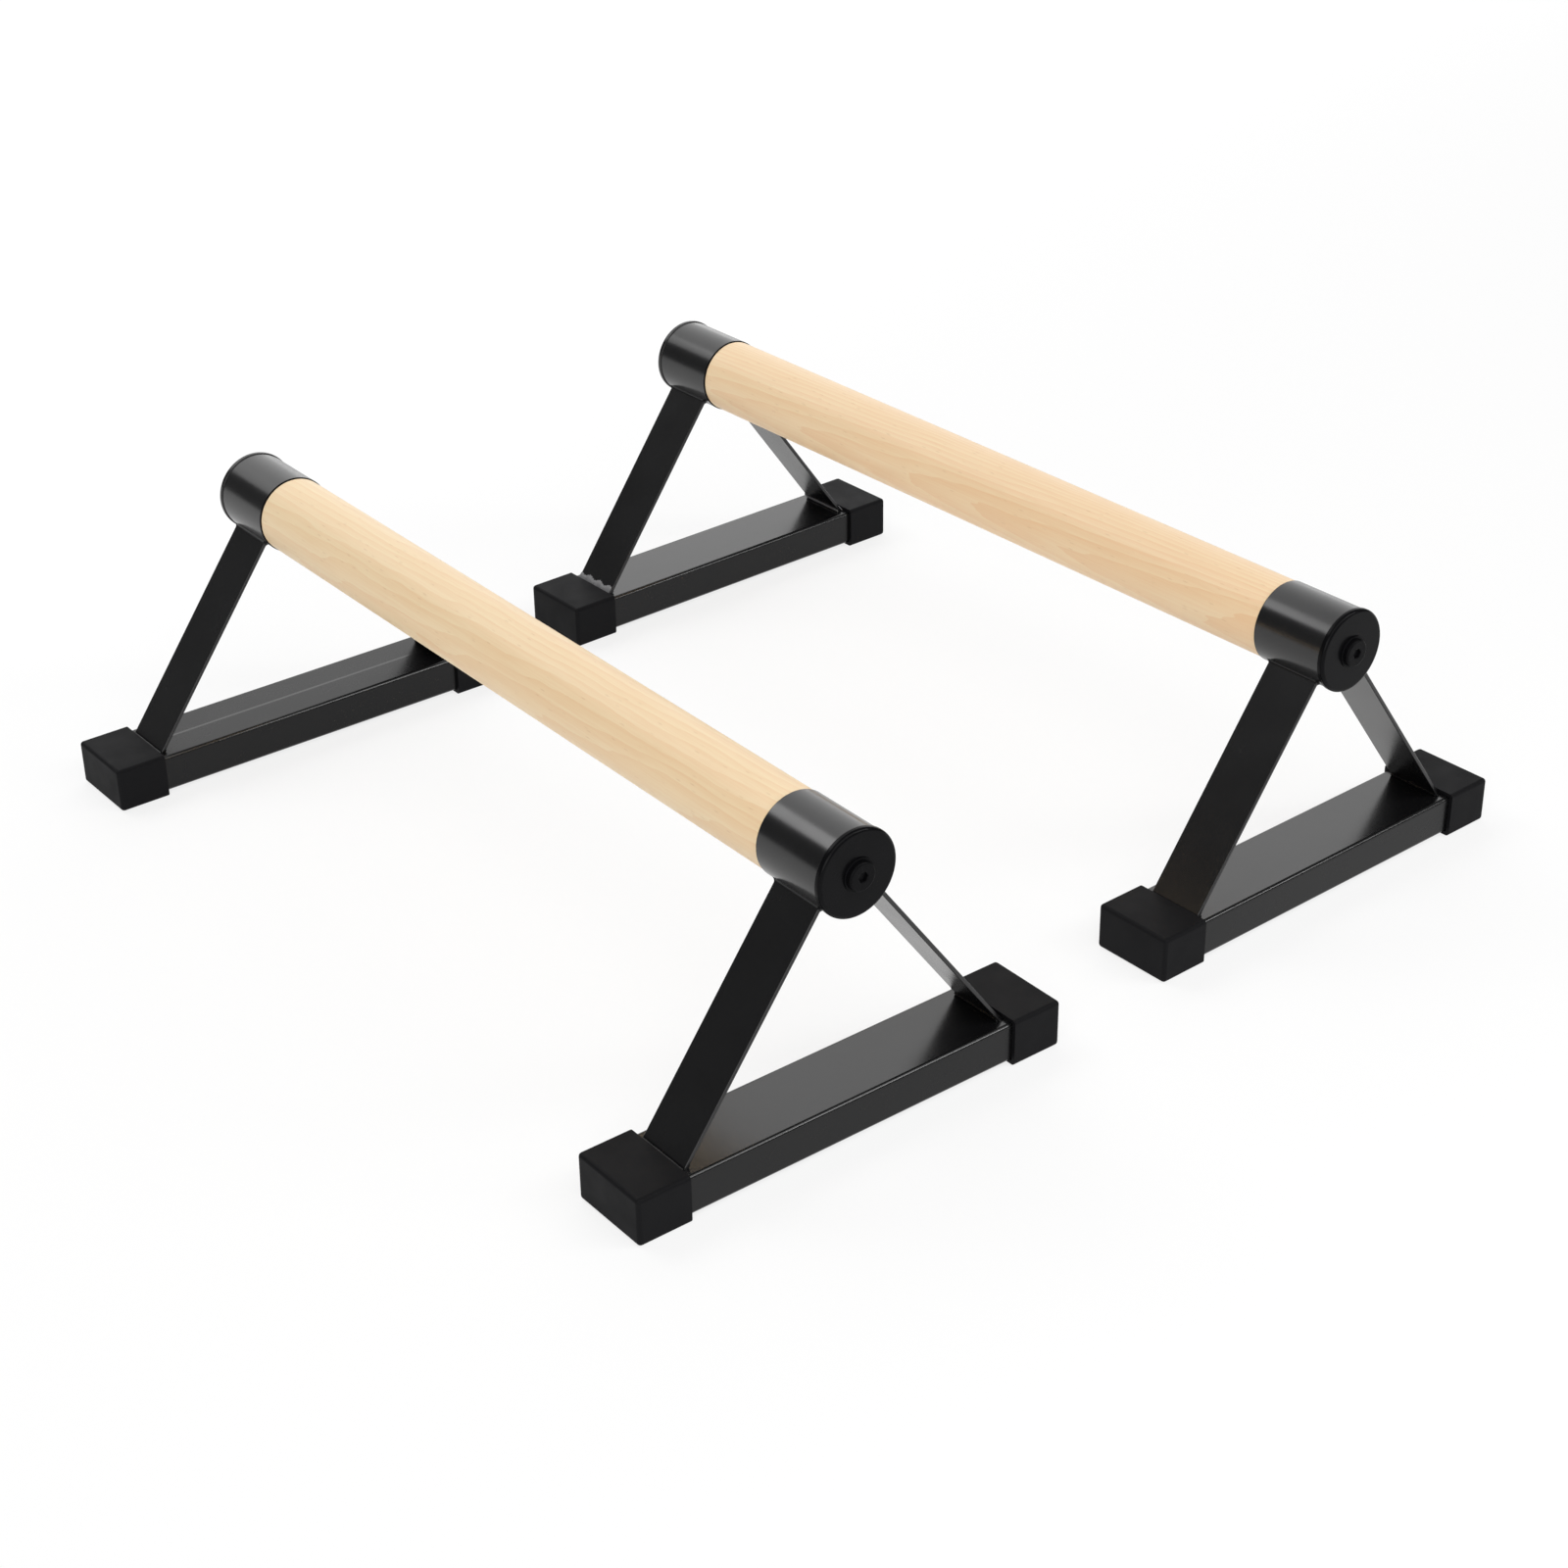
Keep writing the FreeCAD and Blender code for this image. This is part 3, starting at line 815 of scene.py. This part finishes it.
@dataclass(frozen=True)
class Leg:
    """A flat steel strip from the base tube up to the sleeve, and the weld beads along its head and foot."""

    tube: BaseTube = BaseTube()
    sleeve: Sleeve = Sleeve()
    cap: FootCap = FootCap()
    width: float = 30 * MM
    thickness: float = 2 * MM
    aim: float = 4.8 * MM
    edge_round: float = 0.6 * MM
    cap_gap: float = 0.2 * MM
    weld_gap: float = 0.2 * MM
    weld_reach: float = 0.8 * MM
    head_bead: Bead = GROUND_BEAD
    inner_bead: Bead = INNER_BEAD
    wrap_size: float = 2.9 * MM
    bead_lean: Span = (0.8, 1.5)

    @property
    def foot(self) -> float:
        """How far the outer face's foot is from the middle of the tube."""
        return self.cap.end - self.cap.length - self.cap_gap - self.weld_reach

    @property
    def slope(self) -> float:
        """The leg's angle to the floor."""
        rise = self.sleeve.axis_height - self.tube.top
        return math.atan2(rise, self.foot) + math.asin(self.aim / math.hypot(self.foot, rise))

    @property
    def upwards(self) -> Vector:
        """The way up along the leg, of unit length."""
        return Vector((0, -math.cos(self.slope), math.sin(self.slope)))

    @property
    def foot_thickness(self) -> float:
        """How wide the leg is where it stands on the tube."""
        return self.thickness / math.sin(self.slope)

    def point(self, aim: float, reach: float) -> Vector:
        """Finds a point of the leg's section.

        Args:
            aim: its distance outwards from the bar's axis, square to the leg.
            reach: its distance down along the leg from abreast of that axis.

        Returns:
            The point, in the YZ plane.
        """
        across = aim * math.sin(self.slope) + reach * math.cos(self.slope)
        up = self.sleeve.axis_height + aim * math.cos(self.slope) - reach * math.sin(self.slope)
        return Vector((0, across, up))

    def head(self, aim: float, radius: float) -> Vector:
        """Finds where a line along the leg meets a circle about the bar's axis.

        Args:
            aim: the line's distance from the axis.
            radius: the circle's radius.

        Returns:
            The point, in the YZ plane.
        """
        return self.point(aim, math.sqrt(radius ** 2 - aim ** 2))

    def build(self) -> BMesh:
        """Models the strip on the side of +Y, with its long edges rounded and its head cut to the sleeve.

        Returns:
            The shape.
        """
        reach = self.sleeve.radius + self.weld_gap
        back = X_AXIS * (-self.width / 2)
        shape = bmesh.new()
        face = add_face(shape, [corner + back for corner in (
            Vector((0, self.foot, self.tube.top)),
            self.head(self.aim, reach),
            self.head(self.aim - self.thickness, reach),
            Vector((0, self.foot - self.foot_thickness, self.tube.top)),
        )])
        push_out(shape, [face], X_AXIS * self.width)
        long = [edge for edge in shape.edges if edge.calc_length() > self.width + SAME_POINT]
        round_off(shape, long, self.edge_round, steps=5)
        return closed(shape)

    def build_welds(self, bead: Bead) -> BMesh:
        """Models the welds on the faces of both legs: ground fillets at the heads, rippled beads at the feet.

        Args:
            bead: how the beads at the feet of the outer faces were laid.

        Returns:
            The shape, in both signs of Y, with the beads at the feet in a second finish.
        """
        shape = bmesh.new()
        for aim, sign in ((self.aim, 1), (self.aim - self.thickness, -1)):
            self._add_bead(shape, self._head_section(aim, sign), self.head_bead)
            self._add_wrap(shape, sign)
        inside = self.foot - self.foot_thickness
        for place, sign, laid in ((self.foot, 1, bead), (inside, -1, self.inner_bead)):
            self._add_bead(shape, self._foot_section(place, sign, laid.height), laid)
        everything = shape.verts[:] + shape.edges[:] + shape.faces[:]
        bmesh.ops.mirror(shape, geom=everything, axis="Y")
        bmesh.ops.recalc_face_normals(shape, faces=shape.faces[:])
        for face in shape.faces:
            face.material_index = int(face.calc_center_median().z < self.sleeve.axis_height / 2)
        return shape

    def _head_section(self, aim: float, sign: int) -> list[Vector]:
        """Draws the hollow fillet between a face of the leg and the sleeve.

        Args:
            aim: the face's distance from the bar's axis.
            sign: 1 for the outer face, -1 for the inner.

        Returns:
            The section's corners, the inside corner first.
        """
        radius = self.sleeve.radius
        root = self.head(aim, radius)
        size = self.head_bead.height
        axis = self.sleeve.axis_height
        turn = math.atan2(root.y, axis - root.z) + sign * size / radius
        on_sleeve = Vector((0, radius * math.sin(turn), axis - radius * math.cos(turn)))
        return [root] + curve(root - self.upwards * size, root, on_sleeve)

    def _add_wrap(self, shape: BMesh, sign: int) -> None:
        """Draws the hollow fillet that carries the weld at the leg's head round one of its narrow edges.

        Args:
            shape: the shape that the weld joins.
            sign: 1 for the edge on the side of +X, -1 for the other.
        """
        inner = self.head(self.aim - self.thickness, self.sleeve.radius)
        outer = self.head(self.aim, self.sleeve.radius)
        root = inner + X_AXIS * (sign * (self.width / 2 - self.edge_round))
        low = root - self.upwards * self.wrap_size
        face = add_face(shape, [root] + curve(low, root, root + X_AXIS * (sign * self.wrap_size)))
        push_out(shape, [face], outer - inner)

    def _foot_section(self, place: float, sign: int, height: float) -> list[Vector]:
        """Draws the full bead between a face of the leg and the base tube.

        Args:
            place: how far that face's foot is from the middle of the tube.
            sign: 1 for the outer face, -1 for the inner.
            height: how far the bead climbs the leg.

        Returns:
            The section's corners, the inside corner first.
        """
        root = Vector((0, place, self.tube.top))
        up = self.upwards * height
        away = Y_AXIS * sign * self.weld_reach
        lean_up, lean_out = self.bead_lean
        return [root] + curve(root + up, root + up * lean_up + away * lean_out, root + away)

    def _add_bead(self, shape: BMesh, section: Sequence[Vector], bead: Bead) -> None:
        """Draws a weld's section out across the leg.

        Args:
            shape: the shape that the weld joins.
            section: its section's corners, the inside corner first.
            bead: how it was laid.
        """
        length = self.width - 2 * self.edge_round
        steps = bead.ripple_steps * round(length / bead.ripple_length)
        start = -X_AXIS * (length / 2)
        faces = [add_face(shape, [point + start for point in section])]
        for step in range(1, steps + 1):
            faces = push_out(shape, faces, X_AXIS * (length / steps))
            along = length * step / steps
            root = section[0] + start + X_AXIS * along
            for vert, point in zip(faces[0].verts, section):
                vert.co = root + (point - section[0]) * bead.swell(along)


@dataclass(frozen=True)
class EndPlug:
    """The moulded plug that closes a sleeve: a disc with a rounded rim, a spigot and a bolt hole."""

    sleeve: Sleeve = Sleeve()
    diameter: float = 42 * MM
    rim_round: float = 1.8 * MM
    back_round: float = 0.6 * MM
    clearance: float = 0.1 * MM
    spigot: float = 5 * MM
    spigot_round: float = 0.8 * MM
    bolt_hole: float = 8.5 * MM

    @property
    def face(self) -> float:
        """The place of the plug's outer face."""
        return self.sleeve.outer_end + self.sleeve.plug_flange

    def build(self) -> BMesh:
        """Models the plug.

        Returns:
            The shape, with the rim that stands past the sleeve in a second finish.
        """
        neck = self.sleeve.bore - self.clearance
        back = self.sleeve.outer_end - self.spigot
        shape = turned([
            Corner(self.face, self.bolt_hole / 2),
            Corner(self.face, self.diameter / 2, self.rim_round),
            Corner(self.sleeve.outer_end, self.diameter / 2, self.back_round),
            Corner(self.sleeve.outer_end, neck),
            Corner(back, neck, self.spigot_round),
            Corner(back, self.bolt_hole / 2),
        ], TUBE_STEPS, arc_steps=8)
        for face in shape.faces:
            face.material_index = int(face.calc_center_median().yz.length > self.sleeve.radius)
        return shape


@dataclass(frozen=True)
class Fastening:
    """The low-headed bolt and its thin washer, on the plug's face."""

    plug: EndPlug = EndPlug()
    shank: float = 8 * MM
    shank_length: float = 34.2 * MM
    tip_chamfer: float = 0.8 * MM
    head_diameter: float = 14 * MM
    head_height: float = 2.4 * MM
    head_round: float = 1.1 * MM
    socket_width: float = 5 * MM
    socket_depth: float = 1.5 * MM
    socket_bevel: float = 0.25 * MM
    washer_diameter: float = 16 * MM
    washer_thickness: float = 0.8 * MM
    washer_round: float = 0.25 * MM

    @property
    def seat(self) -> float:
        """The place of the head's underside."""
        return self.plug.face + self.washer_thickness

    def build_bolt(self) -> BMesh:
        """Models the bolt, with a six-sided socket sunk in its head.

        Returns:
            The shape.
        """
        top = self.seat + self.head_height
        mouth = self.socket_width / math.sqrt(3)
        shape = turned([
            Corner(self.seat - self.shank_length, 0.0),
            Corner(self.seat - self.shank_length, self.shank / 2, self.tip_chamfer),
            Corner(self.seat, self.shank / 2),
            Corner(self.seat, self.head_diameter / 2),
            Corner(top, self.head_diameter / 2, self.head_round),
            Corner(top, mouth),
            Corner(top, 0.0),
        ], BOLT_STEPS, arc_steps=8)
        return self._sink_socket(shape, top, mouth)

    def _sink_socket(self, shape: BMesh, top: float, mouth: float) -> BMesh:
        """Opens the top of the bolt's head and sinks the socket through it.

        Args:
            shape: the bolt.
            top: the place of the head's top.
            mouth: the radius of the opening.

        Returns:
            The same shape, closed.
        """
        middles = [(face, face.calc_center_median()) for face in shape.faces]
        disc = [face for face, middle in middles if middle.x > top - SAME_POINT and middle.yz.length < mouth]
        bmesh.ops.delete(shape, geom=disc, context="FACES")
        rim = [edge for edge in shape.edges if edge.is_boundary]
        ring = bmesh.ops.create_circle(shape, radius=mouth - self.socket_bevel, segments=6)["verts"]
        bmesh.ops.rotate(shape, verts=ring, matrix=Matrix.Rotation(math.pi / 2, 3, "Y"))
        bmesh.ops.translate(shape, verts=ring, vec=(top - self.socket_bevel, 0, 0))
        edges = [edge for edge in shape.edges if edge.is_wire]
        bmesh.ops.bridge_loops(shape, edges=rim + edges)
        push_out(shape, [shape.faces.new(ring)], X_AXIS * (self.socket_bevel - self.socket_depth))
        return closed(shape)

    def build_washer(self) -> BMesh:
        """Models the washer.

        Returns:
            The shape.
        """
        return turned([
            Corner(self.plug.face, self.plug.bolt_hole / 2),
            Corner(self.seat, self.plug.bolt_hole / 2),
            Corner(self.seat, self.washer_diameter / 2, self.washer_round),
            Corner(self.plug.face, self.washer_diameter / 2),
        ], BOLT_STEPS, arc_steps=3)


# The bars


@dataclass(frozen=True)
class FrameDetail:
    """What differs between the end frames: the face with the tube's seam, and how the feet were welded."""

    seam: SeamFace = SeamFace.BOTTOM
    bead: Bead = NEAT_BEAD


DETAIL_OF = {
    (Side.LEFT, End.REAR): FrameDetail(seam=SeamFace.TOP),
    (Side.RIGHT, End.REAR): FrameDetail(bead=HEAVY_BEAD),
}


@dataclass(frozen=True)
class Stance:
    """How one bar stands in the part: read from its base tubes in the frame."""

    side: Side
    middle: Vector
    yaw: float
    reach: float

    @classmethod
    def read(cls, side: Side) -> "Stance":
        """Reads a bar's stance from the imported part.

        Args:
            side: which bar.

        Returns:
            Its stance.
        """
        tubes = (f"{side.name.lower()}_{end.name.lower()}_base_tube" for end in End)
        front, rear = (sum(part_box(tube), Vector()) / 2 for tube in tubes)
        span = front - rear
        middle = (front + rear) / 2
        return cls(side, Vector((middle.x, middle.y, 0)), math.atan2(span.y, span.x), span.length / 2)

    def place(self, end: End | None = None, height: float = 0.0) -> Matrix:
        """Finds the place of an end frame's own origin, or of the bar's middle.

        Args:
            end: which end, or None for the middle.
            height: a height above the floor.

        Returns:
            The matrix that takes a piece there, turned to face outwards.
        """
        lift = Matrix.Translation((0, 0, height))
        bar = Matrix.Translation(self.middle) @ Matrix.Rotation(self.yaw, 4, "Z") @ lift
        if end is None:
            return bar
        turn = Matrix.Rotation(0 if end is End.FRONT else math.pi, 4, "Z")
        return bar @ Matrix.Translation((end.value * self.reach, 0, 0)) @ turn


@dataclass(frozen=True)
class GripBar:
    """The turned beech bar, with a shouldered tenon and a stepped bore at each end."""

    plug: EndPlug = EndPlug()
    diameter: float = 40 * MM
    shoulder_round: float = 0.7 * MM
    tenon_clearance: float = 0.1 * MM
    tenon_gap: float = 0.3 * MM
    insert_bore: float = 12.1 * MM
    insert_length: float = 20 * MM
    bore_room: float = 6.6 * MM

    def build(self, reach: float) -> BMesh:
        """Models the bar about its own middle.

        Args:
            reach: how far the end frames are from the middle.

        Returns:
            The shape.
        """
        sleeve, bolt_bore = self.plug.sleeve, self.plug.bolt_hole / 2
        tenon = sleeve.bore - self.tenon_clearance
        shoulder = reach + sleeve.inner_end
        tip = reach + sleeve.outer_end - self.plug.spigot - self.tenon_gap
        insert = tip - self.insert_length
        half = [
            Corner(insert - self.bore_room, 0.0),
            Corner(insert - self.bore_room, bolt_bore),
            Corner(insert, bolt_bore),
            Corner(insert, self.insert_bore / 2),
            Corner(tip, self.insert_bore / 2),
            Corner(tip, tenon),
            Corner(shoulder, tenon),
            Corner(shoulder, self.diameter / 2, self.shoulder_round),
        ]
        other = [Corner(-corner.along, corner.radius, corner.rounding) for corner in reversed(half)]
        return turned(half + other, BAR_STEPS, arc_steps=6)


@dataclass
class Bar:
    """One whole bar: its grip and its two end frames."""

    stance: Stance
    skins: dict[Skin, Material]
    grip: GripBar = GripBar()
    leg: Leg = Leg()
    fastening: Fastening = Fastening()

    @property
    def name(self) -> str:
        """The bar's name in the part."""
        return self.stance.side.name.lower()

    def build(self) -> None:
        """Builds every piece of the bar."""
        middle = self.stance.place(None, self.leg.sleeve.axis_height)
        beech = LacqueredBeech(f"lacquered_beech_{self.name}", middle.translation, self.stance.yaw,
                               BOARD_OF[self.stance.side])
        stand_for(f"{self.name}_grip_bar", self.grip.build(self.stance.reach), middle, beech.build())
        for end in End:
            self._build_frame(end)
            self._build_closure(end)

    def _build_frame(self, end: End) -> None:
        """Builds the welded frame and the caps of one end.

        Args:
            end: which end.
        """
        name = f"{self.name}_{end.name.lower()}"
        place = self.stance.place(end)
        axis = self.stance.place(end, self.leg.sleeve.axis_height)
        detail = DETAIL_OF.get((self.stance.side, end), FrameDetail())
        satin, gloss = self.skins[Skin.SATIN_COAT], self.skins[Skin.GLOSS_COAT]
        stand_for(f"{name}_base_tube", self.leg.tube.build(detail.seam), place, satin, gloss)
        # The sleeve's inner end is painted dark as the shade in its joint with the wood.
        stand_for(f"{name}_sleeve", self.leg.sleeve.build(), axis, gloss, self.skins[Skin.SAWN_EDGE])
        # The heavy bead at the feet takes the light grey of painted highlight on its ripples.
        skin = self.skins[Skin.WELD_SKIN] if detail.bead is HEAVY_BEAD else satin
        stand_for(f"{name}_welds", self.leg.build_welds(detail.bead), place, satin, skin)
        for flank in Flank:
            outwards = self.stance.side.value * flank.value * end.value
            facing = place @ Matrix.Rotation(0 if outwards > 0 else math.pi, 4, "Z")
            part = f"{name}_{flank.name.lower()}"
            stand_for(f"{part}_leg", self.leg.build(), facing, self.skins[Skin.STRIP_COAT])
            stand_for(f"{part}_foot_cap", self.leg.cap.build(), facing, self.skins[Skin.RUBBER])

    def _build_closure(self, end: End) -> None:
        """Builds the plug, bolt and washer of one end, and finishes its insert.

        Args:
            end: which end.
        """
        name = f"{self.name}_{end.name.lower()}"
        axis = self.stance.place(end, self.leg.sleeve.axis_height)
        plastic, oxide = self.skins[Skin.PLASTIC], self.skins[Skin.BLACK_OXIDE]
        rim = self.skins[Skin.POLISHED_PLASTIC] if end is End.REAR else plastic
        stand_for(f"{name}_end_plug", self.fastening.plug.build(), axis, plastic, rim)
        stand_for(f"{name}_bolt", self.fastening.build_bolt(), axis, oxide)
        stand_for(f"{name}_washer", self.fastening.build_washer(), axis, oxide)
        insert = frame["nodes"][f"{name}_thread_insert"]
        insert.data.materials.clear()
        insert.data.materials.append(self.skins[Skin.BRASS])
        log.info("%s: CAD node with a finish", insert.name)


# The studio


@dataclass(frozen=True)
class SoftBox:
    """A rectangular, evenly bright studio light, which faces down before its tilt, given in degrees."""

    name: str
    place: Vector
    size: tuple[float, float]
    radiance: float
    tilt: tuple[float, float, float] = (0.0, 0.0, 0.0)

    def build(self) -> None:
        """Makes the light."""
        lamp = bpy.data.lights.new(self.name, "AREA")
        lamp.shape = "RECTANGLE"
        lamp.size, lamp.size_y = self.size
        lamp.energy = self.radiance * math.pi * self.size[0] * self.size[1]
        light = bpy.data.objects.new(self.name, lamp)
        light.location = self.place
        light.rotation_euler = [math.radians(angle) for angle in self.tilt]
        light.visible_camera = False
        bpy.context.scene.collection.objects.link(light)


@dataclass(frozen=True)
class Viewpoint:
    """The camera, by the photograph's viewing angle and distance."""

    azimuth: float = math.radians(51.569)
    elevation: float = math.radians(29.598)
    roll: float = math.radians(-0.88)
    distance: float = 1405.4 * MM
    target: tuple[float, float, float] = (0.1, -0.0682, 0.08)
    lens: float = 67.86
    sensor: float = 36.0

    def build(self) -> None:
        """Makes the camera and gives it to the scene."""
        lens = bpy.data.cameras.new("camera")
        lens.lens = self.lens
        lens.sensor_width = self.sensor
        camera = bpy.data.objects.new("camera", lens)
        aim = Matrix.Translation(self.target) @ Matrix.Rotation(self.azimuth, 4, "Z")
        pitch = Matrix.Rotation(math.pi / 2 - self.elevation, 4, "X") @ Matrix.Rotation(self.roll, 4, "Z")
        camera.matrix_world = aim @ pitch @ Matrix.Translation((0, 0, self.distance))
        bpy.context.scene.collection.objects.link(camera)
        bpy.context.scene.camera = camera


@dataclass(frozen=True)
class Studio:
    """A pale floor, soft light and a grey room."""

    floor_size: float = 40.0
    floor_drop: float = 0.2 * MM
    floor_colour: str = "#F9F9F9"
    floor_glow: float = 0.78
    room_level: float = 0.16

    def build(self) -> None:
        """Builds the floor, the room, the lights and the camera."""
        self._build_floor()
        self._build_room()
        for box in self.lights():
            box.build()
        Viewpoint().build()

    def lights(self) -> list[SoftBox]:
        """Lists the lights.

        Returns:
            The soft boxes: a canopy behind, a bright panel at its left edge, a panel over the front, an edge
            light and a fill at the front's two sides, and a low rim panel behind.
        """
        return [
            SoftBox("canopy", Vector((-2.55, 0.86, 1.37)), (3.9, 5.13), 1.4, (-17.4, 0.0, 0.0)),
            SoftBox("key_panel", Vector((-1.2, -0.65, 1.46)), (0.95, 0.8), 2.65),
            SoftBox("top_panel", Vector((1.5, 0.0, 1.7)), (1.6, 2.4), 2.1),
            SoftBox("edge_light", Vector((1.38, 1.15, 1.22)), (0.36, 0.9), 8.0, (-36.0, 42.0, 0.0)),
            SoftBox("front_fill", Vector((1.7, -1.8, 1.0)), (1.8, 1.4), 3.0, (70.0, 0.0, 43.0)),
            SoftBox("rim_panel", Vector((-2.2, 2.35, 0.31)), (3.6, 0.56), 1.3, (90.0, 0.0, -136.6)),
        ]

    def _build_floor(self) -> None:
        """Builds the floor, which looks near white to the eye and in reflections and still takes shadows."""
        shape = bmesh.new()
        bmesh.ops.create_grid(shape, x_segments=1, y_segments=1, size=self.floor_size / 2)
        bmesh.ops.translate(shape, verts=shape.verts[:], vec=(0, 0, -self.floor_drop))
        mesh = bpy.data.meshes.new("floor_mesh")
        shape.to_mesh(mesh)
        shape.free()
        floor = bpy.data.objects.new("floor", mesh)
        bpy.context.scene.collection.objects.link(floor)
        material, tree = new_material("pale_floor")
        path = add_node(tree, "LightPath")
        seen = maths(tree, "MAXIMUM", path.outputs["Is Camera Ray"], path.outputs["Is Glossy Ray"])
        seen = maths(tree, "MAXIMUM", seen, path.outputs["Is Transmission Ray"])
        share = maths(tree, "MULTIPLY", seen, self.floor_glow)
        paint = add_node(tree, "BsdfDiffuse", {"Color": linear(self.floor_colour)})
        glow = add_node(tree, "Emission")
        both = add_node(tree, "MixShader", {
            0: share, 1: paint.outputs["BSDF"], 2: glow.outputs["Emission"],
        })
        add_node(tree, "OutputMaterial", {"Surface": both.outputs["Shader"]})
        mesh.materials.append(material)

    def _build_room(self) -> None:
        """Builds the grey room light."""
        world = bpy.data.worlds.new("room")
        world.use_nodes = True
        world.node_tree.nodes.clear()
        level = self.room_level
        room = add_node(world.node_tree, "Background", {"Color": (level, level, level, 1.0)})
        add_node(world.node_tree, "OutputWorld", {"Surface": room.outputs["Background"]})
        bpy.context.scene.world = world


def main() -> None:
    """Builds both bars and the studio."""
    logging.basicConfig(level=logging.INFO, format="%(message)s")
    bpy.context.scene.view_settings.view_transform = "Standard"
    skins = {skin: skin.value.build() for skin in Skin}
    for side in Side:
        Bar(Stance.read(side), skins).build()
    Studio().build()


if __name__ == "__main__":
    main()
